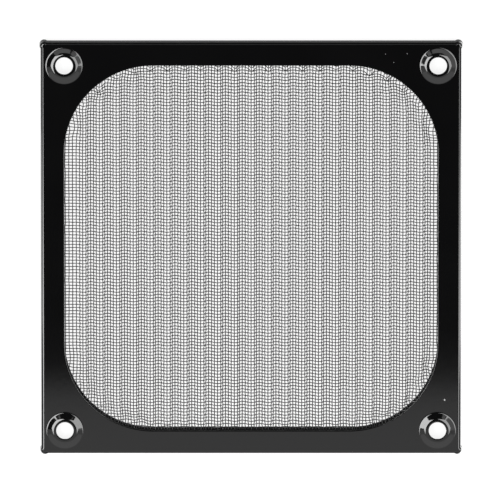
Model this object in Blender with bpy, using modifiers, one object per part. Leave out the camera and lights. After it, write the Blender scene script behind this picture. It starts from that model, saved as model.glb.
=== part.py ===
"""Dust filter for a 120 mm fan: a folded front frame, a corrugated wire mesh and a back frame.

The filter lies on its hem, front face up. The origin is the middle of the plane that the hem
lies in, +X runs across the corrugations and +Y runs along them. All sizes are in metres.
"""
import bmesh
import bpy
from math import cos, floor, pi, radians, sin, tan
from mathutils import Matrix

# Sheet and stack
FRONT_SHEET = 0.0006
BACK_SHEET = 0.0006
MESH_EDGE = 0.0011
CLEARANCE = 0.0003

# Screw holes and the raised bosses round them
HOLE_SPACING = 0.1050
HOLE_DIAMETER = 0.0049
BACK_HOLE_ROOM = 0.0008
BOSS_DIAMETER = 0.0106
BOSS_LAND = 0.00025
BOSS_SLOPE = radians(20.0)
BOSS_CREST_RADIUS = 0.0030
BOSS_FOOT_RADIUS = 0.0012
BOSS_SINK = 0.000006
BOSS_MARGIN = 0.00135

# Folded front frame, and the window through both frames
BEND_RADIUS = 0.00085
HEM_RADIUS = 0.0007
HEM_WIDTH = 0.0034
MITRE_GAP = 0.0006
CORNER_EASE = 0.00015
NUB_FLAT = 0.00045
NUB_PROUD = 0.0003
NUB_DROP = 0.0001
BORDER = 0.00665
WINDOW_RADIUS = 0.0250
BACK_WINDOW_RISE = 0.0004

# Woven wire mesh
WIRE_DIAMETER = 0.00026
MESH_GRIP = 0.0025
MESH_CRUSH = 0.0020
WAVE_PITCH = 0.00474
WAVE_HEIGHT = 0.00185
WAVE_LEAN = 0.35
WIRES_PER_WAVE = 6
GAP_WIRES = 3
GAP_ROWS = 5
GAP_BAR = 0.0020
FIELD_OVERLAP = 0.0005

# Facets of the round stretches
BEND_STEPS = 4
CORNER_STEPS = 5
WINDOW_STEPS = 16
ROUND_STEPS = 32
CREST_STEPS = 4
FOOT_STEPS = 2
NUB_STEPS = 20

# Finish
BLACK_PAINT = (0.004, 0.004, 0.0042, 1.0)
BLACK_WIRE = (0.008, 0.008, 0.0083, 1.0)
SMOOTH_ANGLE = radians(32.0)
MERGE = 0.000002
SMALLEST_RADIUS = 0.00005

# Levels of the stack, from the hem up
HEM_TOP = FRONT_SHEET
BACK_LOW = HEM_TOP + CLEARANCE
BACK_TOP = BACK_LOW + BACK_SHEET
MESH_LOW = BACK_TOP + CLEARANCE
MESH_TOP = MESH_LOW + MESH_EDGE
FACE_LOW = MESH_TOP + CLEARANCE
FACE_TOP = FACE_LOW + FRONT_SHEET
MESH_MIDDLE = (MESH_LOW + MESH_TOP) / 2
WALL_THICKNESS = 2 * WIRE_DIAMETER

# Outlines that follow from the sizes above
FRAME_SIDE = HOLE_SPACING + BOSS_DIAMETER + 2 * BOSS_MARGIN
CORNER_RADIUS = max(BEND_RADIUS, HEM_RADIUS) + CORNER_EASE
NUB_RADIUS = BEND_RADIUS + NUB_FLAT
NUB_OFFSET = FRAME_SIDE / 2 + NUB_PROUD - NUB_RADIUS
HOLE_OFFSET = HOLE_SPACING / 2
BACK_HOLE_RADIUS = HOLE_DIAMETER / 2 + BACK_HOLE_ROOM
WINDOW_SIDE = FRAME_SIDE - 2 * BORDER
CAVITY_SIDE = FRAME_SIDE - 2 * FRONT_SHEET
CAVITY_RADIUS = max(CORNER_RADIUS - FRONT_SHEET, SMALLEST_RADIUS)
BACK_SIDE = CAVITY_SIDE - 2 * CLEARANCE
MESH_SIDE = WINDOW_SIDE + 2 * MESH_GRIP
MESH_RADIUS = WINDOW_RADIUS + MESH_GRIP
FIELD_SIDE = WINDOW_SIDE - 2 * MESH_CRUSH
FIELD_RADIUS = WINDOW_RADIUS - MESH_CRUSH
OVERCUT = FRONT_SHEET


def clear_scene():
    """Remove every object that the scene starts with."""
    for item in list(bpy.data.objects):
        bpy.data.objects.remove(item, do_unlink=True)


def make_collection(name):
    """Return a new collection in the scene."""
    collection = bpy.data.collections.new(name)
    bpy.context.scene.collection.children.link(collection)
    return collection


def make_material(name, colour, roughness, metallic):
    """Return a Principled material."""
    material = bpy.data.materials.new(name)
    material.use_nodes = True
    shader = material.node_tree.nodes["Principled BSDF"]
    shader.inputs["Base Color"].default_value = colour
    shader.inputs["Roughness"].default_value = roughness
    shader.inputs["Metallic"].default_value = metallic
    material.diffuse_color = colour
    return material


def object_from(bm, name, collection, root):
    """Turn a bmesh into an object under the root."""
    mesh = bpy.data.meshes.new(name)
    bm.to_mesh(mesh)
    bm.free()
    item = bpy.data.objects.new(name, mesh)
    collection.objects.link(item)
    item.parent = root
    return item


def hide_tool(item):
    """Mark an object as one that only shapes others."""
    item.hide_render = True
    item.display_type = "WIRE"
    return item


def add_boolean(item, tool, operation):
    """Cut, join or trim an object with a tool."""
    modifier = item.modifiers.new(operation.lower() + "_" + tool.name, "BOOLEAN")
    modifier.operation = operation
    modifier.solver = "EXACT"
    modifier.object = tool


def mirror_to_corners(item, root):
    """Repeat a tool in one corner at the other three."""
    modifier = item.modifiers.new("four_corners", "MIRROR")
    modifier.use_axis = (True, True, False)
    modifier.mirror_object = root
    modifier.merge_threshold = MERGE


def finish(item, material, collection):
    """Keep the shape that the modifiers give, and shade its round stretches smooth."""
    bpy.context.view_layer.update()
    evaluated = item.evaluated_get(bpy.context.evaluated_depsgraph_get())
    mesh = bpy.data.meshes.new_from_object(evaluated)
    bm = bmesh.new()
    bm.from_mesh(mesh)
    bmesh.ops.remove_doubles(bm, verts=bm.verts, dist=MERGE)
    bmesh.ops.dissolve_degenerate(bm, edges=bm.edges, dist=MERGE)
    bm.to_mesh(mesh)
    bm.free()
    item.modifiers.clear()
    item.data = mesh
    mesh.name = item.name
    mesh.materials.clear()
    mesh.materials.append(material)
    mesh.shade_smooth()
    mesh.set_sharp_from_angle(angle=SMOOTH_ANGLE)
    for other in list(item.users_collection):
        other.objects.unlink(item)
    collection.objects.link(item)


def edges_at(bm, level):
    """Return the edges whose two ends lie at one level."""
    return [edge for edge in bm.edges
            if all(abs(vertex.co.z - level) < MERGE for vertex in edge.verts)]


def rounded_block(side, radius, low, high, steps, low_rim=0.0, high_rim=0.0, rim_steps=1):
    """Return a square block with round corners, and round rims where they are asked for."""
    bm = bmesh.new()
    bmesh.ops.create_cube(bm, size=1.0)
    bmesh.ops.scale(bm, vec=(side, side, high - low), verts=bm.verts)
    bmesh.ops.translate(bm, vec=(0, 0, (high + low) / 2), verts=bm.verts)
    upright = [edge for edge in bm.edges if abs(edge.verts[0].co.z - edge.verts[1].co.z) > MERGE]
    bmesh.ops.bevel(bm, geom=upright, offset=radius, segments=steps, affect="EDGES", profile=0.5,
                    material=-1)
    for level, rim in ((low, low_rim), (high, high_rim)):
        if rim > 0:
            bmesh.ops.bevel(bm, geom=edges_at(bm, level), offset=rim, segments=rim_steps,
                            affect="EDGES", profile=0.5, material=-1)
    return bm


def upright_cylinder(radius, low, high, steps, rim=0.0, rim_steps=1):
    """Return a cylinder about the Z axis, with round rims where they are asked for.

    It is turned by half a facet, so that its edges don't lie on those of the shape round it.
    """
    bm = bmesh.new()
    bmesh.ops.create_cone(bm, cap_ends=True, segments=steps, radius1=radius, radius2=radius,
                          depth=high - low)
    bmesh.ops.rotate(bm, matrix=Matrix.Rotation(pi / steps, 3, "Z"), verts=bm.verts)
    bmesh.ops.translate(bm, vec=(0, 0, (high + low) / 2), verts=bm.verts)
    if rim > 0:
        rims = edges_at(bm, low) + edges_at(bm, high)
        bmesh.ops.bevel(bm, geom=rims, offset=rim, segments=rim_steps, affect="EDGES",
                        profile=0.5, material=-1)
    return bm


def boss_profile(crest_steps, foot_steps):
    """Return (radius, height over the face) points from the boss's land out to its foot.

    The foot ends a hair below the face, so that its rim doesn't lie in the face's plane.
    """
    land = HOLE_DIAMETER / 2 + BOSS_LAND
    foot = BOSS_DIAMETER / 2
    room = foot - land
    foot_run = BOSS_FOOT_RADIUS * sin(BOSS_SLOPE)
    crest_radius = min(BOSS_CREST_RADIUS, (room - foot_run) / sin(BOSS_SLOPE))
    crest_run = crest_radius * sin(BOSS_SLOPE)
    crest_drop = crest_radius * (1 - cos(BOSS_SLOPE))
    foot_rise = BOSS_FOOT_RADIUS * (1 - cos(BOSS_SLOPE))
    slope_drop = (room - foot_run - crest_run) * tan(BOSS_SLOPE)
    height = crest_drop + slope_drop + foot_rise - BOSS_SINK
    points = []
    for step in range(crest_steps + 1):
        angle = BOSS_SLOPE * step / crest_steps
        points.append((land + crest_radius * sin(angle), height - crest_radius * (1 - cos(angle))))
    for step in range(foot_steps + 1):
        angle = BOSS_SLOPE * (1 - step / foot_steps)
        rise = BOSS_FOOT_RADIUS * (1 - cos(angle)) - BOSS_SINK
        points.append((foot - BOSS_FOOT_RADIUS * sin(angle), rise))
    return points


def turned_boss(name, level, depth, crest_steps, foot_steps, tools, root):
    """Return a tool turned from the boss's profile, in all four corners.

    level is where the boss's foot lies, and depth is how far the tool reaches below it.
    """
    profile = boss_profile(crest_steps, foot_steps)
    outline = [(0.0, profile[0][1])] + profile + [(profile[-1][0], -depth), (0.0, -depth)]
    bm = bmesh.new()
    verts = [bm.verts.new((radius, 0.0, level + height)) for radius, height in outline]
    for first, second in zip(verts, verts[1:]):
        bm.edges.new((first, second))
    item = object_from(bm, name, tools, root)
    item.location = (HOLE_OFFSET, HOLE_OFFSET, 0)
    screw = item.modifiers.new("turn", "SCREW")
    screw.axis = "Z"
    screw.steps = ROUND_STEPS
    screw.render_steps = ROUND_STEPS
    screw.use_merge_vertices = True
    screw.merge_threshold = MERGE
    screw.use_normal_calculate = True
    mirror_to_corners(item, root)
    return hide_tool(item)


def corner_cylinder(name, bm, offset, tools, root):
    """Place a tool at one offset from both middle planes, in all four corners."""
    item = object_from(bm, name, tools, root)
    item.location = (offset, offset, 0)
    mirror_to_corners(item, root)
    return hide_tool(item)


def mitre_tool(tools, root):
    """Return the slots that part the four hems at the corners."""
    inner = FRAME_SIDE / 2 - HEM_WIDTH - MITRE_GAP
    length = (NUB_OFFSET - inner) * 2 ** 0.5
    middle = (NUB_OFFSET + inner) / 2
    bm = bmesh.new()
    bmesh.ops.create_cube(bm, size=1.0)
    bmesh.ops.scale(bm, vec=(length, MITRE_GAP, HEM_TOP + CLEARANCE), verts=bm.verts)
    item = object_from(bm, "mitre_slots", tools, root)
    item.location = (middle, middle, HEM_TOP / 2)
    item.rotation_euler = (0, 0, pi / 4)
    mirror_to_corners(item, root)
    return hide_tool(item)


def window_tool(name, side, radius, low, high, tools, root):
    """Return a tool with the window's outline, or one parallel to it."""
    bm = rounded_block(side, radius, low, high, WINDOW_STEPS)
    return hide_tool(object_from(bm, name, tools, root))


def make_front_frame(parts, tools, root, material):
    """Build the stamped sheet: its face, window, bosses, bent sides and hem."""
    shell = rounded_block(FRAME_SIDE, CORNER_RADIUS, 0, FACE_TOP, CORNER_STEPS,
                          low_rim=HEM_RADIUS, high_rim=BEND_RADIUS, rim_steps=BEND_STEPS)
    frame = object_from(shell, "front_frame", tools, root)

    nub = upright_cylinder(NUB_RADIUS, NUB_DROP, FACE_TOP - NUB_DROP, NUB_STEPS,
                           rim=BEND_RADIUS, rim_steps=BEND_STEPS)
    add_boolean(frame, corner_cylinder("corner_nubs", nub, NUB_OFFSET, tools, root), "UNION")

    raised = turned_boss("boss_outsides", FACE_TOP, FRONT_SHEET / 2, CREST_STEPS, FOOT_STEPS,
                         tools, root)
    add_boolean(frame, raised, "UNION")

    cavity = rounded_block(CAVITY_SIDE, CAVITY_RADIUS, HEM_TOP, FACE_LOW, CORNER_STEPS,
                           high_rim=max(BEND_RADIUS - FRONT_SHEET, 0), rim_steps=FOOT_STEPS)
    add_boolean(frame, hide_tool(object_from(cavity, "frame_cavity", tools, root)), "DIFFERENCE")

    hollow = turned_boss("boss_hollows", FACE_LOW, CLEARANCE, FOOT_STEPS, 1, tools, root)
    add_boolean(frame, hollow, "DIFFERENCE")

    opening_side = FRAME_SIDE - 2 * HEM_WIDTH
    opening = rounded_block(opening_side, CORNER_RADIUS, -OVERCUT, HEM_TOP + CLEARANCE,
                            CORNER_STEPS)
    add_boolean(frame, hide_tool(object_from(opening, "hem_opening", tools, root)), "DIFFERENCE")
    add_boolean(frame, mitre_tool(tools, root), "DIFFERENCE")

    window = window_tool("front_window", WINDOW_SIDE, WINDOW_RADIUS, FACE_LOW - CLEARANCE,
                         FACE_TOP + OVERCUT, tools, root)
    add_boolean(frame, window, "DIFFERENCE")

    hole = upright_cylinder(HOLE_DIAMETER / 2, -OVERCUT, FACE_TOP + BOSS_DIAMETER, ROUND_STEPS)
    add_boolean(frame, corner_cylinder("screw_holes", hole, HOLE_OFFSET, tools, root),
                "DIFFERENCE")
    finish(frame, material, parts)


def make_back_frame(parts, tools, root, material):
    """Build the flat frame that the hem holds against the mesh."""
    plate = rounded_block(BACK_SIDE, CORNER_RADIUS, BACK_LOW, BACK_TOP, CORNER_STEPS)
    frame = object_from(plate, "back_frame", tools, root)

    window = window_tool("back_window", WINDOW_SIDE, WINDOW_RADIUS, BACK_LOW - OVERCUT,
                         BACK_TOP + OVERCUT, tools, root)
    window.location.y = BACK_WINDOW_RISE
    add_boolean(frame, window, "DIFFERENCE")

    hole = upright_cylinder(BACK_HOLE_RADIUS, BACK_LOW - OVERCUT, BACK_TOP + OVERCUT,
                            ROUND_STEPS)
    add_boolean(frame, corner_cylinder("back_holes", hole, HOLE_OFFSET, tools, root),
                "DIFFERENCE")
    finish(frame, material, parts)


def wave_height(turns):
    """Return the corrugation's height over its middle, for a place counted in waves."""
    phase = 2 * pi * turns
    return WAVE_HEIGHT / 2 * cos(phase + WAVE_LEAN * (1 - cos(phase)))


def make_wave_field(tools, root):
    """Return the corrugated wall, with its gaps, as an open sheet that Solidify thickens."""
    reach = FIELD_SIDE / 2 + FIELD_OVERLAP
    waves = max(floor(FIELD_SIDE / WAVE_PITCH), 1)
    columns = waves * WIRES_PER_WAVE
    first_x = -waves * WAVE_PITCH / 2
    gap_length = (FIELD_SIDE - (GAP_ROWS + 1) * GAP_BAR) / GAP_ROWS
    row_edges = [-reach]
    for row in range(GAP_ROWS):
        low = -FIELD_SIDE / 2 + GAP_BAR + row * (gap_length + GAP_BAR)
        row_edges += [low, low + gap_length]
    row_edges.append(reach)
    column_edges = [-reach]
    column_edges += [first_x + WAVE_PITCH * step / WIRES_PER_WAVE for step in range(columns + 1)]
    column_edges.append(reach)

    bm = bmesh.new()
    bmesh.ops.create_grid(bm, x_segments=len(column_edges) - 1, y_segments=len(row_edges) - 1,
                          size=0.5)
    place = {}
    for vertex in bm.verts:
        column = round((vertex.co.x + 0.5) * (len(column_edges) - 1))
        row = round((vertex.co.y + 0.5) * (len(row_edges) - 1))
        place[vertex] = (column, row)
    for vertex, (column, row) in place.items():
        x = column_edges[column]
        inside = 0 < column < len(column_edges) - 1
        height = wave_height(x / WAVE_PITCH) if inside else 0.0
        vertex.co = (x, row_edges[row], MESH_MIDDLE + height)
    gaps = []
    for face in bm.faces:
        column = min(place[vertex][0] for vertex in face.verts)
        row = min(place[vertex][1] for vertex in face.verts)
        in_gap_column = 0 < column <= columns and (column - 1) % WIRES_PER_WAVE < GAP_WIRES
        if in_gap_column and row % 2 == 1:
            gaps.append(face)
    bmesh.ops.delete(bm, geom=gaps, context="FACES")
    field = object_from(bm, "filter_mesh", tools, root)
    wall = field.modifiers.new("wall", "SOLIDIFY")
    wall.thickness = WALL_THICKNESS
    wall.offset = 0
    wall.use_even_offset = True
    return field


def make_filter_mesh(parts, tools, root, material):
    """Build the mesh: a corrugated wall with gaps, and the flat edge that the frames grip."""
    mesh = make_wave_field(tools, root)
    trim = window_tool("field_outline", FIELD_SIDE + 2 * FIELD_OVERLAP,
                       FIELD_RADIUS + FIELD_OVERLAP, -OVERCUT, FACE_TOP + OVERCUT, tools, root)
    add_boolean(mesh, trim, "INTERSECT")

    edge = rounded_block(MESH_SIDE, MESH_RADIUS, MESH_LOW, MESH_TOP, WINDOW_STEPS)
    edge_ring = hide_tool(object_from(edge, "mesh_edge", tools, root))
    field_opening = window_tool("field_opening", FIELD_SIDE, FIELD_RADIUS, MESH_LOW - OVERCUT,
                                MESH_TOP + OVERCUT, tools, root)
    add_boolean(edge_ring, field_opening, "DIFFERENCE")
    add_boolean(mesh, edge_ring, "UNION")
    finish(mesh, material, parts)


def main():
    """Build the filter."""
    clear_scene()
    parts = make_collection("fan_dust_filter")
    tools = make_collection("cutters")
    root = bpy.data.objects.new("fan_dust_filter_root", None)
    parts.objects.link(root)
    paint = make_material("black_painted_aluminium", BLACK_PAINT, 0.3, 0.0)
    wire = make_material("black_wire", BLACK_WIRE, 0.4, 0.0)
    make_front_frame(parts, tools, root, paint)
    make_back_frame(parts, tools, root, paint)
    make_filter_mesh(parts, tools, root, wire)


main()
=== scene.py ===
"""Looks of a dust filter for a 120 mm fan: coated black sheet, woven black wire and the studio.

All sizes are in metres. The filter lies on its hem with its front face up, +X runs across the
mesh's corrugations and +Y runs along them. Corners are counted anticlockwise from the one on +X
and +Y.
"""

import logging
import math
import random
from dataclasses import dataclass, field
from enum import Enum
from typing import ClassVar, Iterable

import bmesh
import bpy
from mathutils import Matrix, Vector, noise

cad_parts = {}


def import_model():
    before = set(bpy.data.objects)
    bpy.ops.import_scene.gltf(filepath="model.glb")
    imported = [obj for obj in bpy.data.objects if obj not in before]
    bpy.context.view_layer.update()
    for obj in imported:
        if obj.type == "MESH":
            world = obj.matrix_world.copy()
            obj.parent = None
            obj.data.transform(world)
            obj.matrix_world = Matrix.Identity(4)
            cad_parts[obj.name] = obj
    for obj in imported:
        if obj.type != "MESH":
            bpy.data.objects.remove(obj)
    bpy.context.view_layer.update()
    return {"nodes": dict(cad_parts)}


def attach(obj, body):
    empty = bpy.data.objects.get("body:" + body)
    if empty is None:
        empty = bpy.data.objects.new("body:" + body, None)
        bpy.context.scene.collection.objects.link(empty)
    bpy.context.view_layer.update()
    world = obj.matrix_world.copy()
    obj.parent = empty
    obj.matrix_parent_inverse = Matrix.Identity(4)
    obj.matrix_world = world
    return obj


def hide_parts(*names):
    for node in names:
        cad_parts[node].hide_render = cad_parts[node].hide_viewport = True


LOG = logging.getLogger("fan_dust_filter")

WELD = 1e-7
SMOOTH_ANGLE = math.radians(35.0)
QUARTER_TURN = math.pi / 2
CORNERS = 4
CORNER_SIGNS = ((1, 1), (-1, 1), (-1, -1), (1, -1))
NOISE_MIDDLE = 0.5
WHITE = (1.0, 1.0, 1.0, 1.0)

Loop = list[bmesh.types.BMVert]
Places = list[Vector]


class Slot(Enum):
    """Material slots that the record gives."""

    FRONT = "black_frame"
    BACK = "black_back_frame"
    MESH = "black_mesh"


def smoothstep(value: float) -> float:
    """Return a value that rises softly from 0 at 0 to 1 at 1."""
    share = min(max(value, 0.0), 1.0)
    return share * share * (3.0 - 2.0 * share)


def loop_edges(loop: Loop) -> list[bmesh.types.BMEdge]:
    """Find the edges that join a closed loop's vertices.

    Args:
        loop: The loop's vertices, in order.

    Returns:
        The edges, in the same order.
    """
    edges = []
    for first, second in zip(loop, loop[1:] + loop[:1]):
        edges.append(next(edge for edge in first.link_edges if edge.other_vert(first) is second))
    return edges


def start_loop(bm: bmesh.types.BMesh, places: Places) -> Loop:
    """Start a closed loop of vertices.

    Args:
        bm: The mesh that the loop goes into.
        places: Where its vertices lie, in order.

    Returns:
        The loop's vertices in the same order.
    """
    made = bmesh.ops.create_circle(bm, cap_ends=False, radius=1.0, segments=len(places))
    for vertex, place in zip(made["verts"], places):
        vertex.co = place
    return list(made["verts"])


def extrude_loop(bm: bmesh.types.BMesh, loop: Loop, places: Places) -> Loop:
    """Extrude a closed loop to new places.

    Args:
        bm: The mesh that holds the loop.
        loop: The loop to extrude.
        places: Where the new loop's vertices lie, one for each vertex of the old loop.

    Returns:
        The new loop, in the old one's order.
    """
    made = bmesh.ops.extrude_edge_only(bm, edges=loop_edges(loop))
    fresh = {item for item in made["geom"] if isinstance(item, bmesh.types.BMVert)}
    result = []
    for vertex in loop:
        partner = next(edge.other_vert(vertex) for edge in vertex.link_edges
                       if edge.other_vert(vertex) in fresh)
        result.append(partner)
    for vertex, place in zip(result, places):
        vertex.co = place
    return result


def sweep_loop(bm: bmesh.types.BMesh, rows: list[Places]) -> tuple[Loop, Loop]:
    """Extrude a closed loop through rows of places.

    Args:
        bm: The mesh that the loop goes into.
        rows: The places of each loop, which all have the same number.

    Returns:
        The first and the last loop.
    """
    first = start_loop(bm, rows[0])
    loop = first
    for row in rows[1:]:
        loop = extrude_loop(bm, loop, row)
    return first, loop


def square_places(half: float, centre: float, radius: float, steps: int, level: float) -> Places:
    """Return places round a square outline whose corners are arcs.

    Args:
        half: Half of the square's side.
        centre: How far each arc's centre lies from both middle planes.
        radius: The arcs' radius. An arc that is larger than its corner stands proud of the sides.
        steps: Facets in each arc.
        level: The outline's height.

    Returns:
        The places, anticlockwise from the first corner's side on +X.
    """
    spread = QUARTER_TURN - math.asin(min((half - centre) / radius, 1.0))
    places = []
    for corner in range(CORNERS):
        turn = Matrix.Rotation(corner * QUARTER_TURN, 3, "Z")
        for step in range(steps + 1):
            angle = -spread + (QUARTER_TURN + 2 * spread) * step / steps
            local = Vector((centre + radius * math.cos(angle), centre + radius * math.sin(angle),
                            level))
            places.append(turn @ local)
    return places


def piece_from(bm: bmesh.types.BMesh, name: str, material: bpy.types.Material) -> bpy.types.Object:
    """Turn a bmesh into a smooth-shaded piece at the origin.

    Args:
        bm: The finished shape, which is freed.
        name: The piece's name.
        material: Its finish.

    Returns:
        The new object.
    """
    mesh = bpy.data.meshes.new(name)
    bm.to_mesh(mesh)
    bm.free()
    mesh.materials.append(material)
    mesh.shade_smooth()
    mesh.set_sharp_from_angle(angle=SMOOTH_ANGLE)
    piece = bpy.data.objects.new(name, mesh)
    bpy.context.scene.collection.objects.link(piece)
    return piece


def fit_piece(piece: bpy.types.Object, slot: Slot, *nodes: str) -> bpy.types.Object:
    """Let a piece ride on the body and stand for the CAD nodes that it replaces.

    Args:
        piece: The piece.
        slot: Its material slot, which is not used.
        *nodes: The CAD nodes that it replaces.

    Returns:
        The same piece.
    """
    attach(piece, "root")
    if nodes:
        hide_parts(*nodes)
    LOG.info("%s: %d faces", piece.name, len(piece.data.polygons))
    return piece


class Board:
    """Adds nodes to one node tree and links them."""

    def __init__(self, tree: bpy.types.NodeTree) -> None:
        """Keep the tree that the nodes go into."""
        self.tree = tree

    def node(self, kind: str, **values: object) -> bpy.types.Node:
        """Add a node.

        Args:
            kind: The node's type in Blender.
            **values: Properties of the node, or defaults of its inputs, by their names.

        Returns:
            The node.
        """
        item = self.tree.nodes.new(kind)
        for name, value in values.items():
            if hasattr(item, name):
                setattr(item, name, value)
            else:
                item.inputs[name].default_value = value
        return item

    def link(self, source: bpy.types.NodeSocket, target: bpy.types.NodeSocket) -> None:
        """Link an output to an input."""
        self.tree.links.new(source, target)

    def math(self, operation: str, first: object, second: object) -> bpy.types.NodeSocket:
        """Add a Math node.

        Args:
            operation: What it works out.
            first: Its first value, a socket or a number.
            second: Its second value, a socket or a number.

        Returns:
            Its output.
        """
        item = self.tree.nodes.new("ShaderNodeMath")
        item.operation = operation
        for socket, value in zip(item.inputs, (first, second)):
            if isinstance(value, bpy.types.NodeSocket):
                self.link(value, socket)
            else:
                socket.default_value = value
        return item.outputs[0]


class Effects:
    """Shader node groups that more than one finish uses, each built once.

    PEEL, PATCH and RAGGED set the noise behind a coat's peel, its uneven gloss and a chip's edge.
    """

    PEEL: ClassVar[dict[str, float]] = {"Detail": 3.0, "Roughness": 0.45}
    PATCH: ClassVar[dict[str, float]] = {"Detail": 2.0, "Roughness": 0.5}
    RAGGED: ClassVar[dict[str, float]] = {"Detail": 1.0, "Scale": 4200.0}

    def __init__(self) -> None:
        """Start with no group built."""
        self._built: dict[str, bpy.types.NodeTree] = {}

    def _group(self, name: str, inputs: Iterable[tuple[str, str]],
               outputs: Iterable[tuple[str, str]]) -> tuple[Board, bpy.types.Node, bpy.types.Node]:
        """Start a group with named sockets.

        Args:
            name: The group's name.
            inputs: Name and socket type of each input.
            outputs: Name and socket type of each output.

        Returns:
            The group's board, its input node and its output node.
        """
        tree = bpy.data.node_groups.new(name, "ShaderNodeTree")
        for label, kind in inputs:
            tree.interface.new_socket(name=label, in_out="INPUT", socket_type=kind)
        for label, kind in outputs:
            tree.interface.new_socket(name=label, in_out="OUTPUT", socket_type=kind)
        board = Board(tree)
        self._built[name] = tree
        return board, board.node("NodeGroupInput"), board.node("NodeGroupOutput")

    def coat_grain(self) -> bpy.types.NodeTree:
        """Build the group for a sprayed coat: its orange peel, uneven gloss and uneven tone.

        Returns:
            The group.
        """
        name = "coat_grain"
        if name in self._built:
            return self._built[name]
        board, start, end = self._group(
            name,
            [("Vector", "NodeSocketVector"), ("Peel Scale", "NodeSocketFloat"),
             ("Patch Scale", "NodeSocketFloat"), ("Roughness", "NodeSocketFloat"),
             ("Roughness Spread", "NodeSocketFloat"), ("Dark", "NodeSocketColor"),
             ("Light", "NodeSocketColor")],
            [("Height", "NodeSocketFloat"), ("Roughness", "NodeSocketFloat"),
             ("Color", "NodeSocketColor")])
        peel = board.node("ShaderNodeTexNoise", **self.PEEL)
        board.link(start.outputs["Vector"], peel.inputs["Vector"])
        board.link(start.outputs["Peel Scale"], peel.inputs["Scale"])
        patch = board.node("ShaderNodeTexNoise", **self.PATCH)
        board.link(start.outputs["Vector"], patch.inputs["Vector"])
        board.link(start.outputs["Patch Scale"], patch.inputs["Scale"])
        centred = board.math("SUBTRACT", patch.outputs["Fac"], NOISE_MIDDLE)
        swing = board.math("MULTIPLY", centred, start.outputs["Roughness Spread"])
        gloss = board.math("ADD", start.outputs["Roughness"], swing)
        tone = board.node("ShaderNodeMix", data_type="RGBA")
        board.link(patch.outputs["Fac"], tone.inputs["Factor"])
        board.link(start.outputs["Dark"], tone.inputs["A"])
        board.link(start.outputs["Light"], tone.inputs["B"])
        board.link(peel.outputs["Fac"], end.inputs["Height"])
        board.link(gloss, end.inputs["Roughness"])
        board.link(tone.outputs["Result"], end.inputs["Color"])
        return self._built[name]

    def chip(self) -> bpy.types.NodeTree:
        """Build the group for one pale speck or chip: a mask round a place on the surface.

        Returns:
            The group.
        """
        name = "chip"
        if name in self._built:
            return self._built[name]
        board, start, end = self._group(
            name,
            [("Vector", "NodeSocketVector"), ("Place", "NodeSocketVector"),
             ("Radius", "NodeSocketFloat")],
            [("Mask", "NodeSocketFloat")])
        apart = board.node("ShaderNodeVectorMath", operation="DISTANCE")
        board.link(start.outputs["Vector"], apart.inputs[0])
        board.link(start.outputs["Place"], apart.inputs[1])
        ragged = board.node("ShaderNodeTexNoise", **self.RAGGED)
        board.link(start.outputs["Vector"], ragged.inputs["Vector"])
        edge = board.math("MULTIPLY", start.outputs["Radius"], ragged.outputs["Fac"])
        reach = board.math("MULTIPLY", edge, 1 / NOISE_MIDDLE)
        board.link(board.math("LESS_THAN", apart.outputs["Value"], reach), end.inputs["Mask"])
        return self._built[name]


@dataclass(frozen=True)
class Chip:
    """One speck on the coat: its place, its radius, and how pale it is."""

    place: tuple[float, float, float]
    radius: float
    tone: float


@dataclass(frozen=True)
class CoatFinish:
    """A glossy black coat on sheet or wire.

    Attributes:
        name: The material's name.
        dark: The coat's darkest tone.
        light: Its lightest tone.
        roughness: Its mean roughness.
        roughness_spread: How far the roughness swings about the mean.
        peel_scale: How fine its orange peel is, and peel_height how deep.
        patch_scale: How fine its patches of tone and gloss are.
        chips: The specks on it.
    """

    name: str
    dark: tuple[float, float, float]
    light: tuple[float, float, float]
    roughness: float
    roughness_spread: float
    peel_scale: float
    peel_height: float
    patch_scale: float
    chips: tuple[Chip, ...] = ()

    def build(self, effects: Effects) -> bpy.types.Material:
        """Make the material.

        Args:
            effects: The shared node groups.

        Returns:
            A Principled material with the coat's grain and specks.
        """
        material = bpy.data.materials.new(self.name)
        material.use_nodes = True
        board = Board(material.node_tree)
        shader = material.node_tree.nodes["Principled BSDF"]
        where = board.node("ShaderNodeTexCoord").outputs["Object"]
        grain = board.node("ShaderNodeGroup", node_tree=effects.coat_grain())
        board.link(where, grain.inputs["Vector"])
        for label, value in (("Peel Scale", self.peel_scale), ("Patch Scale", self.patch_scale),
                             ("Roughness", self.roughness),
                             ("Roughness Spread", self.roughness_spread),
                             ("Dark", (*self.dark, 1.0)), ("Light", (*self.light, 1.0))):
            grain.inputs[label].default_value = value
        colour = grain.outputs["Color"]
        for chip in self.chips:
            speck = board.node("ShaderNodeGroup", node_tree=effects.chip())
            board.link(where, speck.inputs["Vector"])
            speck.inputs["Place"].default_value = chip.place
            speck.inputs["Radius"].default_value = chip.radius
            mixed = board.node("ShaderNodeMix", data_type="RGBA")
            board.link(speck.outputs["Mask"], mixed.inputs["Factor"])
            board.link(colour, mixed.inputs["A"])
            mixed.inputs["B"].default_value = (chip.tone, chip.tone, chip.tone, 1.0)
            colour = mixed.outputs["Result"]
        board.link(colour, shader.inputs["Base Color"])
        board.link(grain.outputs["Roughness"], shader.inputs["Roughness"])
        bump = board.node("ShaderNodeBump", Strength=1.0, Distance=self.peel_height)
        board.link(grain.outputs["Height"], bump.inputs["Height"])
        board.link(bump.outputs["Normal"], shader.inputs["Normal"])
        return material


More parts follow.
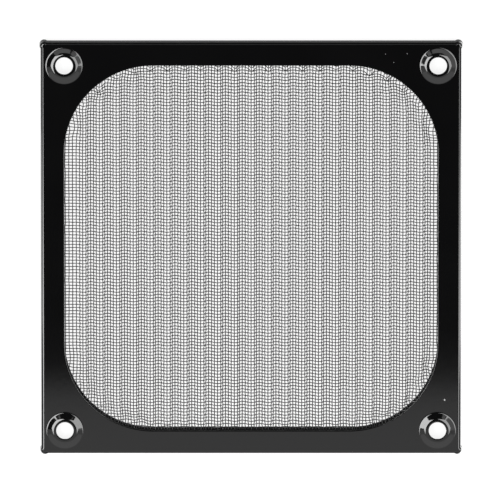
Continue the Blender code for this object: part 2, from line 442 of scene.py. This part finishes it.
@dataclass
class FrontFrame:
    """The stamped and folded front sheet: face, window, bosses, bent sides and hem.

    Attributes:
        side: The folded square's side, without its proud corners.
        face_top: The face's height over the plane that the hem lies in.
        sheet: The sheet's thickness.
        bend_radius: Outer radius of the bend between the face and a side.
        hem_radius: Outer radius of the bend between a side and the hem.
        hem_width: How far the hem reaches in.
        corner_radius: Radius of the corners of the hem's inner edge.
        nub_radius: Radius of the folded corners.
        nub_proud: How far they stand proud of the sides.
        mitre_gap: Width of the slot between two hems.
        border: Distance from a side to the window.
        window_radius: Radius of the window's corners.
        window_roll: Radius of the window's rolled edge.
        hole_spacing: Side of the square that the screw holes stand on.
        hole_diameter: Diameter of a screw hole.
        boss_diameter: Diameter of a boss at its foot.
        boss_land: Width of the flat ring between a boss's slope and its hole.
        boss_slope: Slope of a boss between its two curves.
        boss_crest_radius: Radius of the curve from the land to the slope.
        boss_foot_radius: Radius of the curve from the slope to the face.
        lip_width: Width of the chamfer round a hole.
        lip_drop: Depth of that chamfer.
        flat_margin: Width of the flat strip beside each curve, which keeps the face's shading flat.
        nick_depth: Depth of the nick in a hole's wall.
        nick_corner: The corner whose hole has the nick.
        bend_steps: Facets in a bend, and likewise for the steps that follow.
    """

    side: float = 0.1183
    face_top: float = 0.0038
    sheet: float = 0.0006
    bend_radius: float = 0.00085
    hem_radius: float = 0.0007
    hem_width: float = 0.0034
    corner_radius: float = 0.0010
    nub_radius: float = 0.0013
    nub_proud: float = 0.00028
    mitre_gap: float = 0.0006
    border: float = 0.00665
    window_radius: float = 0.0250
    window_roll: float = 0.00018
    hole_spacing: float = 0.1050
    hole_diameter: float = 0.0049
    boss_diameter: float = 0.0106
    boss_land: float = 0.00042
    boss_slope: float = math.radians(20.0)
    boss_crest_radius: float = 0.0030
    boss_foot_radius: float = 0.0012
    lip_width: float = 0.00022
    lip_drop: float = 0.0004
    flat_margin: float = 0.00015
    nick_depth: float = 0.00035
    nick_corner: int = 3
    bend_steps: int = 10
    nub_steps: int = 18
    window_steps: int = 40
    ring_steps: int = 96
    crest_steps: int = 12
    foot_steps: int = 6

    def _outer(self, inset: float, level: float) -> Places:
        """Return the folded outline with its proud corners, moved in by the inset."""
        centre = self.side / 2 + self.nub_proud - self.nub_radius
        return square_places(self.side / 2 - inset, centre, self.nub_radius - inset,
                             self.nub_steps, level)

    def _plain(self, inset: float, level: float) -> Places:
        """Return the outline of the hem's inner edge, which has plain round corners."""
        half = self.side / 2 - inset
        return square_places(half, half - self.corner_radius, self.corner_radius,
                             self.nub_steps, level)

    def _window(self, outset: float, level: float) -> Places:
        """Return the window's outline, moved out by the outset."""
        half = self.side / 2 - self.border
        return square_places(half + outset, half - self.window_radius,
                             self.window_radius + outset, self.window_steps, level)

    def _boss_profile(self) -> list[tuple[float, float]]:
        """Lay out half of a boss's section.

        Returns:
            Its radius and its height over the face, from the land out to the foot.
        """
        land = self.hole_diameter / 2 + self.boss_land
        foot = self.boss_diameter / 2
        sine, rest = math.sin(self.boss_slope), 1 - math.cos(self.boss_slope)
        straight = foot - land - (self.boss_crest_radius + self.boss_foot_radius) * sine
        height = ((self.boss_crest_radius + self.boss_foot_radius) * rest
                  + straight * math.tan(self.boss_slope))
        points = []
        for step in range(self.crest_steps + 1):
            angle = self.boss_slope * step / self.crest_steps
            points.append((land + self.boss_crest_radius * math.sin(angle),
                           height - self.boss_crest_radius * (1 - math.cos(angle))))
        for step in range(self.foot_steps + 1):
            angle = self.boss_slope * (1 - step / self.foot_steps)
            points.append((foot - self.boss_foot_radius * math.sin(angle),
                           self.boss_foot_radius * (1 - math.cos(angle))))
        return points

    def _ring(self, corner: int, radius: float, level: float, nick: bool = False) -> Places:
        """Return a circle about one screw hole.

        Args:
            corner: Which hole.
            radius: The circle's radius.
            level: Its height.
            nick: Whether the circle is on the wall of a hole, where the nick may be.

        Returns:
            The circle's places.
        """
        signs = CORNER_SIGNS[corner]
        offset = self.hole_spacing / 2
        places = []
        for step in range(self.ring_steps):
            angle = 2 * math.pi * step / self.ring_steps
            reach = radius
            if nick and corner == self.nick_corner and step == 0:
                reach += self.nick_depth
            places.append(Vector((signs[0] * offset + reach * math.cos(angle),
                                  signs[1] * offset + reach * math.sin(angle), level)))
        return places

    def _bend(self) -> list[tuple[float, float]]:
        """Return (1 - sine, 1 - cosine) for the steps of a quarter turn."""
        angles = [QUARTER_TURN * step / self.bend_steps for step in range(self.bend_steps + 1)]
        return [(1 - math.sin(angle), 1 - math.cos(angle)) for angle in angles]

    def _window_rows(self) -> list[Places]:
        """Lay out the window's edge.

        Returns:
            The rows from the face, over the rolled edge, to the underside.
        """
        rows = [self._window(self.window_roll + self.flat_margin, self.face_top)]
        rows += [self._window(self.window_roll * across, self.face_top - self.window_roll * down)
                 for across, down in self._bend()]
        low = self.face_top - self.sheet
        rows.append(self._window(0.0, low))
        rows.append(self._window(self.flat_margin, low))
        return rows

    def _fold_rows(self) -> list[Places]:
        """Lay out the bent sides and the hem.

        Returns:
            The rows from the face, round the fold and the hem, to the face's underside.
        """
        bend, hem, sheet = self.bend_radius, self.hem_radius, self.sheet
        rows = [self._outer(bend + self.flat_margin, self.face_top)]
        rows += [self._outer(bend * across, self.face_top - bend * down)
                 for across, down in self._bend()]
        rows += [self._outer(hem * down, hem * across) for across, down in self._bend()]
        rows.append(self._plain(self.hem_width, 0.0))
        rows.append(self._plain(self.hem_width, sheet))
        low = self.face_top - sheet
        rows.append(self._outer(hem, sheet))
        rows.append(self._outer(sheet, hem))
        rows.append(self._outer(sheet, low - (bend - sheet)))
        rows.append(self._outer(bend, low))
        return rows

    def _boss_rows(self, corner: int) -> list[Places]:
        """Lay out one boss, whose underside takes every second point of its section.

        Args:
            corner: The corner that it stands in.

        Returns:
            The rows from the face, over the boss and through its hole, to the underside.
        """
        profile = self._boss_profile()
        rows = [self._ring(corner, self.boss_diameter / 2 + self.flat_margin, self.face_top)]
        for radius, height in reversed(profile):
            rows.append(self._ring(corner, radius, self.face_top + height))
        hole, top = self.hole_diameter / 2, self.face_top + profile[0][1]
        rows.append(self._ring(corner, hole + self.lip_width, top))
        rows.append(self._ring(corner, hole, top - self.lip_drop, nick=True))
        rows.append(self._ring(corner, hole, top - self.lip_drop - self.sheet / 2, nick=True))
        low = self.face_top - self.sheet
        for radius, height in profile[1::2]:
            rows.append(self._ring(corner, radius, low + height))
        rows.append(self._ring(corner, self.boss_diameter / 2 + self.flat_margin, low))
        return rows

    def _cut_mitres(self, piece: bpy.types.Object) -> None:
        """Cut the slots that part the four hems at the corners.

        Args:
            piece: The sheet, whose mesh is replaced.
        """
        inner = self.side / 2 - self.hem_width - self.mitre_gap
        outer = self.side / 2 - self.corner_radius
        middle = (outer + inner) / 2
        size = ((outer - inner) * math.sqrt(2), self.mitre_gap, 2 * self.sheet + self.bend_radius)
        diagonal = Matrix.Rotation(QUARTER_TURN / 2, 3, "Z")
        bm = bmesh.new()
        for corner in range(CORNERS):
            turn = Matrix.Rotation(corner * QUARTER_TURN, 3, "Z")
            made = bmesh.ops.create_cube(bm, size=1.0)["verts"]
            bmesh.ops.scale(bm, vec=size, verts=made)
            bmesh.ops.rotate(bm, matrix=diagonal, verts=made)
            bmesh.ops.translate(bm, vec=(middle, middle, 0.0), verts=made)
            bmesh.ops.rotate(bm, matrix=turn, verts=made)
        mesh = bpy.data.meshes.new("mitre_slots")
        bm.to_mesh(mesh)
        bm.free()
        slots = bpy.data.objects.new("mitre_slots", mesh)
        bpy.context.scene.collection.objects.link(slots)
        cut = piece.modifiers.new("mitres", "BOOLEAN")
        cut.operation = "DIFFERENCE"
        cut.solver = "EXACT"
        cut.object = slots
        bpy.context.view_layer.update()
        evaluated = piece.evaluated_get(bpy.context.evaluated_depsgraph_get())
        shaped = bpy.data.meshes.new_from_object(evaluated)
        piece.modifiers.clear()
        piece.data = shaped
        bpy.data.objects.remove(slots, do_unlink=True)

    def build(self, material: bpy.types.Material) -> bpy.types.Object:
        """Model the sheet as one closed shape.

        Args:
            material: The frame's finish.

        Returns:
            The piece.
        """
        bm = bmesh.new()
        ends = [sweep_loop(bm, self._window_rows()), sweep_loop(bm, self._fold_rows())]
        ends += [sweep_loop(bm, self._boss_rows(corner)) for corner in range(CORNERS)]
        for loops in zip(*ends):
            edges = [edge for loop in loops for edge in loop_edges(loop)]
            bmesh.ops.triangle_fill(bm, use_beauty=True, use_dissolve=False, edges=edges)
        bmesh.ops.remove_doubles(bm, verts=bm.verts, dist=WELD)
        bmesh.ops.recalc_face_normals(bm, faces=bm.faces)
        piece = piece_from(bm, "front_sheet", material)
        self._cut_mitres(piece)
        piece.data.shade_smooth()
        piece.data.set_sharp_from_angle(angle=SMOOTH_ANGLE)
        return fit_piece(piece, Slot.FRONT, "front_frame")


@dataclass
class WovenMesh:
    """Plain-woven wire, corrugated along Y and pressed down where the frames hold it.

    BETWEEN_CELLS moves whole numbers off the noise's grid, where the noise is always 0.
    POINT_WEIGHT is the weight of every point on a wire's path.

    Attributes:
        middle: Height of the mesh's middle surface.
        window_side: Side of the window that shows the mesh.
        window_radius: Radius of that window's corners.
        grip: How far the mesh reaches past the window, between the two frames.
        wire: The wires' diameter.
        wave_pitch: Distance between two crests.
        wave_height: Height from trough to crest.
        wave_start: Place of the crest that is nearest the middle.
        wave_lean: How strongly each corrugation leans to one side.
        wires_per_wave: Upright wires in one corrugation.
        weft_pitch: Distance between two wires that run across.
        first_wave: Where the corrugations start on -X, rising over first_ramp.
        last_wave: Where they end on +X, falling over last_ramp.
        press_depth: Width of the strip inside the window's outline where the crests are low.
        press_keep: Share of their height that is left on that outline.
        rim_reach: How far the pinch and the stray reach in from the outline.
        fold_start: Distance from the outline where the crests' fold begins to fade.
        fold_width: Width of the strip where it fades.
        far_fold: How far the crests fold back into the window on the far side.
        near_fold: The same on the near side.
        fold_spread: Share by which one crest's fold differs from another's.
        rim_pinch: Share by which a crest is narrowed at the outline.
        stray: How far crossings wander near the outline, in waves as long as stray_scale.
        corner_share: How soon the bulges at a rounded corner reach their full size.
        corner_reach: How far they reach in from the outline.
        corner_stray: How far crossings wander in them, in waves as long as corner_scale.
        corner_push: How far the mesh is pushed inwards there, unevenly by corner_spread.
        corner_crease: Distance from the outline where that push is largest.
        loose: Spread of the wires' places about an even spacing.
        seed: Start of the random draws and of the noise.
        walk: Step in which the corrugated surface is measured.
        rng: The random draws.
    """

    BETWEEN_CELLS: ClassVar[Vector] = Vector((0.5, 0.5, 0.5))
    POINT_WEIGHT: ClassVar[float] = 1.0

    middle: float = 0.00235
    window_side: float = 0.1050
    window_radius: float = 0.0250
    grip: float = 0.0025
    wire: float = 0.00026
    wave_pitch: float = 0.00474
    wave_height: float = 0.00185
    wave_start: float = 0.00030
    wave_lean: float = 0.35
    wires_per_wave: int = 6
    weft_pitch: float = 0.000909
    first_wave: float = -0.0489
    first_ramp: float = 0.0009
    last_wave: float = 0.0509
    last_ramp: float = 0.0011
    press_depth: float = 0.0022
    press_keep: float = 0.35
    rim_reach: float = 0.0019
    fold_start: float = 0.0007
    fold_width: float = 0.0011
    far_fold: float = 0.0010
    near_fold: float = 0.0004
    fold_spread: float = 0.9
    rim_pinch: float = 0.35
    stray: float = 0.00018
    stray_scale: float = 0.0021
    corner_share: float = 0.20
    corner_reach: float = 0.0030
    corner_stray: float = 0.00055
    corner_scale: float = 0.0034
    corner_push: float = 0.00030
    corner_spread: float = 1.3
    corner_crease: float = 0.0011
    loose: float = 0.000012
    seed: int = 7
    walk: float = 0.00001
    rng: random.Random = field(init=False)

    def __post_init__(self) -> None:
        """Start the random draws and the noise, so that each run gives the same mesh."""
        self.rng = random.Random(self.seed)
        noise.seed_set(self.seed)

    def _rim_distance(self, x: float, y: float) -> float:
        """Measure how far inside the window's outline a place lies.

        Args:
            x: The place across the corrugations.
            y: The place along them.

        Returns:
            The distance from the outline, which is less than 0 outside it.
        """
        core = self.window_side / 2 - self.window_radius
        over_x, over_y = abs(x) - core, abs(y) - core
        outside = math.hypot(max(over_x, 0.0), max(over_y, 0.0))
        return self.window_radius - outside - min(max(over_x, over_y), 0.0)

    def _wave(self, x: float) -> float:
        """Work out the corrugation's height, with the flat strips at both sides.

        Args:
            x: The place across the corrugations.

        Returns:
            The height over the middle surface.
        """
        phase = 2 * math.pi * (x - self.wave_start) / self.wave_pitch
        rise = math.cos(phase + self.wave_lean * (1 - math.cos(phase)))
        left = smoothstep((x - self.first_wave) / self.first_ramp)
        right = smoothstep((self.last_wave - x) / self.last_ramp)
        return self.wave_height / 2 * rise * left * right

    def _stations(self) -> list[float]:
        """Space the upright wires evenly along the corrugated surface.

        Returns:
            Their places across the corrugations, from -X to +X.
        """
        reach = self.window_side / 2 + self.grip
        steps = round(self.wave_pitch / self.walk)
        whole = sum(self._arc(self.walk * step) for step in range(steps))
        pitch = whole / self.wires_per_wave
        found = [0.0]
        for sign in (1, -1):
            gone, x = 0.0, 0.0
            while abs(x) < reach:
                gone += self._arc(x)
                x += sign * self.walk
                if gone >= pitch:
                    gone -= pitch
                    found.append(x)
        return sorted(found)

    def _arc(self, x: float) -> float:
        """Return the surface's length over one short step across the waves."""
        return math.hypot(self.walk, self._wave(x + self.walk) - self._wave(x))

    def _surface(self, x: float, y: float) -> tuple[Vector, Vector]:
        """Find where a crossing of the weave lies on the mesh's middle surface.

        Near the window's outline the corrugations are pressed down. Their crests are pinched,
        and on the far and near side they fold back into the window, each by its own amount.

        Args:
            x: The crossing's place across the corrugations, before the mesh is pressed.
            y: Its place along them.

        Returns:
            The place, and the surface's normal there.
        """
        rim = self._rim_distance(x, y)
        keep = self.press_keep + (1 - self.press_keep) * smoothstep(rim / self.press_depth)
        rise = keep * self._wave(x)
        slope = keep * (self._wave(x + self.walk) - self._wave(x - self.walk)) / (2 * self.walk)
        inside = max(rim, 0.0)
        near = math.exp(-(inside / self.rim_reach) ** 2)
        shift_x, shift_y = self._crest_shift(x, y, rim, near)
        where = Vector((x, y, self.middle))
        drift = noise.noise_vector(where / self.stray_scale) * self.stray * near
        drift += self._corner_drift(x, y, inside)
        place = Vector((x + shift_x + drift.x, y + shift_y + drift.y, self.middle + rise))
        return place, Vector((-slope, 0.0, 1.0)).normalized()

    def _crest_shift(self, x: float, y: float, rim: float, near: float) -> tuple[float, float]:
        """Work out how a crest is pinched and folded back at the far and near side.

        Args:
            x: The place across the corrugations.
            y: The place along them.
            rim: How far inside the window's outline it lies.
            near: How much of the pinch reaches it.

        Returns:
            The shifts along X and Y.
        """
        end = smoothstep((abs(y) - abs(x) + self.window_radius) / self.window_radius)
        end *= smoothstep((abs(self.first_wave) - abs(x)) / self.wave_pitch)
        crest = max(self._wave(x) / (self.wave_height / 2), 0.0)
        wave = round((x - self.wave_start) / self.wave_pitch)
        from_crest = x - self.wave_start - self.wave_pitch * wave
        folded = 1.0 - smoothstep((rim - self.fold_start) / self.fold_width)
        uneven = noise.noise(Vector((wave, math.copysign(1.0, y), 0.0)) + self.BETWEEN_CELLS)
        push = (self.far_fold if y > 0 else self.near_fold) * (1.0 + self.fold_spread * uneven)
        return (-self.rim_pinch * from_crest * near * end * crest,
                -math.copysign(push * folded * crest * end, y))

    def _corner_drift(self, x: float, y: float, inside: float) -> Vector:
        """Return how far the mesh is bulged and pushed inwards beside a rounded corner.

        Args:
            x: The place across the corrugations.
            y: The place along them.
            inside: How far inside the window's outline it lies.

        Returns:
            The shift, which is nothing away from the four corners.
        """
        core = self.window_side / 2 - self.window_radius
        in_corner = smoothstep((min(abs(x), abs(y)) / core - 1) / self.corner_share)
        if in_corner == 0:
            return Vector()
        where = Vector((x, y, self.middle)) / self.corner_scale
        fade = math.exp(-(inside / self.corner_reach) ** 2)
        inward = Vector((math.copysign(core, x) - x, math.copysign(core, y) - y, 0.0)).normalized()
        crease = inside / self.corner_crease
        uneven = 1 + self.corner_spread * noise.noise(where)
        push = self.corner_push * uneven * crease * math.exp(1 - crease)
        return (noise.noise_vector(where) * self.corner_stray * fade + inward * push) * in_corner

    def _inside(self, x: float, y: float) -> bool:
        """Say whether a place lies within the mesh's own outline."""
        return self._rim_distance(x, y) > -self.grip

    def _wires(self, name: str, runs: list[Places],
               material: bpy.types.Material) -> bpy.types.Object:
        """Turn runs of places into round wires with closed ends.

        Args:
            name: The piece's name.
            runs: The places along each wire.
            material: The wires' finish.

        Returns:
            The piece.
        """
        curve = bpy.data.curves.new(name, "CURVE")
        curve.dimensions = "3D"
        curve.bevel_depth = self.wire / 2
        curve.bevel_resolution = 1
        curve.use_fill_caps = True
        for run in runs:
            spline = curve.splines.new("POLY")
            spline.points.add(len(run) - 1)
            flat = [number for place in run for number in (*place, self.POINT_WEIGHT)]
            spline.points.foreach_set("co", flat)
        guide = bpy.data.objects.new(name + "_guide", curve)
        bpy.context.scene.collection.objects.link(guide)
        bpy.context.view_layer.update()
        evaluated = guide.evaluated_get(bpy.context.evaluated_depsgraph_get())
        drawn = bpy.data.meshes.new_from_object(evaluated)
        bm = bmesh.new()
        bm.from_mesh(drawn)
        bmesh.ops.remove_doubles(bm, verts=bm.verts, dist=WELD)
        bpy.data.objects.remove(guide, do_unlink=True)
        bpy.data.curves.remove(curve)
        bpy.data.meshes.remove(drawn)
        return fit_piece(piece_from(bm, name, material), Slot.MESH, "filter_mesh")

    def build(self, material: bpy.types.Material) -> list[bpy.types.Object]:
        """Weave the mesh: upright wires, and wires across that follow the corrugation.

        Args:
            material: The wires' finish.

        Returns:
            The upright wires and the wires across.
        """
        columns = [x + self.rng.gauss(0.0, self.loose) for x in self._stations()]
        half = math.floor((self.window_side / 2 + self.grip) / self.weft_pitch)
        rows = [self.weft_pitch * row + self.rng.gauss(0.0, self.loose)
                for row in range(-half, half + 1)]
        warp: list[Places] = [[] for _ in columns]
        weft: list[Places] = [[] for _ in rows]
        for column, x in enumerate(columns):
            for row, y in enumerate(rows):
                if not self._inside(x, y):
                    continue
                place, normal = self._surface(x, y)
                over = self.wire / 2 if (column + row) % 2 else -self.wire / 2
                warp[column].append(place + normal * over)
                weft[row].append(place - normal * over)
        return [self._wires("warp_wires", [run for run in warp if len(run) > 1], material),
                self._wires("weft_wires", [run for run in weft if len(run) > 1], material)]


@dataclass(frozen=True)
class Panel:
    """A flat studio light that faces down.

    Attributes:
        name: The light's name.
        middle: Where its middle is.
        width: Its size along its own X.
        length: Its size along its own Y.
        radiance: How bright its face is.
        lean: Degrees that it is tipped about Y, so that it faces -X.
        turn: Degrees that it is then swung about +Z.
    """

    name: str
    middle: tuple[float, float, float]
    width: float
    length: float
    radiance: float
    lean: float = 0.0
    turn: float = 0.0

    def build(self) -> bpy.types.Object:
        """Make the light.

        Returns:
            The light.
        """
        lamp = bpy.data.lights.new(self.name, "AREA")
        lamp.shape = "RECTANGLE"
        lamp.size, lamp.size_y = self.width, self.length
        lamp.energy = self.radiance * math.pi * self.width * self.length
        item = bpy.data.objects.new(self.name, lamp)
        item.location = self.middle
        item.rotation_euler = (0.0, math.radians(self.lean), math.radians(self.turn))
        bpy.context.scene.collection.objects.link(item)
        return item


@dataclass
class Studio:
    """The white floor, the lights and the camera.

    Attributes:
        tilt: Angle between the camera's line of sight and the vertical.
        distance: Distance from the camera to its target.
        view_width: Width of what the camera sees at its target.
        sensor: Width of the camera's sensor, in millimetres.
        target: The place that the camera looks at.
        floor_size: Side of the square floor.
        floor_drop: How far the floor lies under the hem.
        floor_colour: The floor's own colour, which takes the shadow.
        floor_white: Brightness that the camera sees on top of that colour.
        floor_gloss: The floor's brightness in reflections.
        left_reflected_glow: Painted reflection: how much brighter the floor glows to reflections on
            -X, standing in for a white card.
        right_reflected_glow: The same painted reflection on +X.
        reflected_glow_start: Distance from the middle at which both glowing strips start.
        room: The room's brightness to all but the camera.
        panels: The lights.
    """

    tilt: float = math.radians(12.3)
    distance: float = 5.0
    view_width: float = 0.14075
    sensor: float = 36.0
    target: tuple[float, float, float] = (-0.00033, -0.00122, 0.0)
    floor_size: float = 30.0
    floor_drop: float = 0.00005
    floor_colour: tuple[float, float, float] = (0.15, 0.15, 0.15)
    floor_white: float = 0.85
    floor_gloss: float = 0.10
    left_reflected_glow: float = 1.9
    right_reflected_glow: float = 6.0
    reflected_glow_start: float = 0.0600
    room: float = 0.037
    panels: tuple[Panel, ...] = (
        Panel("left_softbox", middle=(-0.416, -0.033, 1.0), width=0.475, length=0.57,
              radiance=13.5, turn=-26.6),
        Panel("right_softbox", middle=(0.416, -0.033, 1.0), width=0.475, length=0.57,
              radiance=8.0, turn=26.6),
        Panel("right_fill", middle=(0.725, 0.015, 1.0), width=0.45, length=0.63, radiance=1.5),
        Panel("near_panel", middle=(0.0, -0.41, 1.0), width=1.8, length=0.29, radiance=0.92),
        Panel("low_panel", middle=(0.0, -1.03, 1.0), width=1.8, length=0.95, radiance=1.35),
        Panel("far_panel", middle=(0.0, 0.60, 1.0), width=0.60, length=0.19, radiance=1.6),
        Panel("far_left_panel", middle=(-0.42, 0.53, 1.0), width=0.24, length=0.32,
              radiance=1.5),
        Panel("far_right_panel", middle=(0.625, 0.51, 1.0), width=0.65, length=0.36,
              radiance=1.5),
        Panel("left_side_softbox", middle=(-0.7, -0.155, 0.34), width=0.68, length=0.16,
              radiance=4.0, lean=-90.0),
        Panel("right_side_softbox", middle=(0.7, -0.165, 0.34), width=0.68, length=0.18,
              radiance=9.0, lean=90.0),
    )

    def _camera(self) -> None:
        """Place the camera: it looks down, tilted towards the far side, with +X to the right."""
        lens = bpy.data.cameras.new("camera")
        lens.sensor_width = self.sensor
        lens.lens = self.sensor * self.distance / self.view_width
        lens.clip_end = 2 * self.distance
        camera = bpy.data.objects.new("camera", lens)
        back = Vector((0.0, math.sin(self.tilt), math.cos(self.tilt)))
        camera.location = Vector(self.target) + back * self.distance
        camera.rotation_euler = (-self.tilt, 0.0, 0.0)
        bpy.context.scene.collection.objects.link(camera)
        bpy.context.scene.camera = camera

    @staticmethod
    def _straight(board: Board, path: bpy.types.Node) -> bpy.types.NodeSocket:
        """Return 1 for rays that come straight from the camera, or through a clear piece."""
        return board.math("MAXIMUM", path.outputs["Is Camera Ray"],
                          path.outputs["Is Transmission Ray"])

    def _floor(self) -> None:
        """Lay a pale floor that the camera sees as white, apart from the shadow on it.

        Reflections see it glow dimly under the filter and brightly on both sides. That is a painted
        reflection, as if white cards lay there.
        """
        material = bpy.data.materials.new("white_floor")
        material.use_nodes = True
        board = Board(material.node_tree)
        shader = material.node_tree.nodes["Principled BSDF"]
        shader.inputs["Base Color"].default_value = (*self.floor_colour, 1.0)
        shader.inputs["Roughness"].default_value = 1.0
        shader.inputs["Specular IOR Level"].default_value = 0.0
        shader.inputs["Emission Color"].default_value = WHITE
        path = board.node("ShaderNodeLightPath")
        seen = board.math("MULTIPLY", self._straight(board, path), self.floor_white)
        where = board.node("ShaderNodeSeparateXYZ")
        board.link(board.node("ShaderNodeTexCoord").outputs["Object"], where.inputs["Vector"])
        # painted reflection: the floor glows brighter on both sides, but only to glossy rays
        left = board.math("LESS_THAN", where.outputs["X"], -self.reflected_glow_start)
        right = board.math("GREATER_THAN", where.outputs["X"], self.reflected_glow_start)
        glow_strips = board.math("ADD", board.math("MULTIPLY", left, self.left_reflected_glow),
                           board.math("MULTIPLY", right, self.right_reflected_glow))
        gloss = board.math("ADD", glow_strips, self.floor_gloss)
        glossy = board.math("MULTIPLY", path.outputs["Is Glossy Ray"], gloss)
        board.link(board.math("ADD", seen, glossy), shader.inputs["Emission Strength"])
        bm = bmesh.new()
        bmesh.ops.create_grid(bm, x_segments=1, y_segments=1, size=self.floor_size / 2)
        bmesh.ops.translate(bm, vec=(0.0, 0.0, -self.floor_drop), verts=bm.verts)
        floor = piece_from(bm, "floor", material)
        LOG.info("stage: %s", floor.name)

    def _world(self) -> None:
        """Make the room behind the floor white to the camera and dim to everything else."""
        world = bpy.data.worlds.new("room")
        bpy.context.scene.world = world
        world.use_nodes = True
        board = Board(world.node_tree)
        background = world.node_tree.nodes["Background"]
        straight = self._straight(board, board.node("ShaderNodeLightPath"))
        rest = board.math("MULTIPLY", board.math("SUBTRACT", 1.0, straight), self.room)
        board.link(board.math("ADD", straight, rest), background.inputs["Strength"])
        background.inputs["Color"].default_value = WHITE

    def build(self) -> None:
        """Make the camera, the floor, the room and the lights."""
        self._camera()
        self._floor()
        self._world()
        for panel in self.panels:
            light = panel.build()
            LOG.info("light: %s", light.name)
        bpy.context.scene.view_settings.view_transform = "Standard"


FRAME_COAT = CoatFinish(
    name="gloss_black_coat", dark=(0.0008, 0.0008, 0.0009), light=(0.0018, 0.0018, 0.0019),
    roughness=0.06, roughness_spread=0.02, peel_scale=650.0, peel_height=0.000001,
    patch_scale=55.0,
    chips=(Chip(place=(0.0545, -0.0436, 0.0038), radius=0.00022, tone=0.30),
           Chip(place=(0.0400, 0.0535, 0.0038), radius=0.00012, tone=0.12),
           Chip(place=(0.0377, 0.0559, 0.0038), radius=0.00012, tone=0.12),
           Chip(place=(0.0438, 0.0560, 0.0038), radius=0.00012, tone=0.12)))
BACK_COAT = CoatFinish(
    name="gloss_black_back_coat", dark=(0.0028, 0.0028, 0.0030), light=(0.0045, 0.0045, 0.0046),
    roughness=0.25, roughness_spread=0.06, peel_scale=650.0, peel_height=0.000006,
    patch_scale=55.0)
WIRE_COAT = CoatFinish(
    name="satin_black_wire", dark=(0.006, 0.006, 0.006), light=(0.014, 0.014, 0.015),
    roughness=0.30, roughness_spread=0.12, peel_scale=5200.0, peel_height=0.000004,
    patch_scale=240.0)


def dress_back_frame(frame: dict, effects: Effects) -> None:
    """Give the CAD's back frame its finish.

    Args:
        effects: The shared node groups.
    """
    node = frame["nodes"]["back_frame"]
    node.data.materials.clear()
    node.data.materials.append(BACK_COAT.build(effects))
    LOG.info("%s keeps its solid", node.name)


def main() -> None:
    """Load the frame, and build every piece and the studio."""
    logging.basicConfig(level=logging.INFO, format="%(name)s: %(message)s")
    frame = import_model()
    effects = Effects()
    FrontFrame().build(FRAME_COAT.build(effects))
    dress_back_frame(frame, effects)
    WovenMesh().build(WIRE_COAT.build(effects))
    Studio().build()


if __name__ == "__main__":
    main()
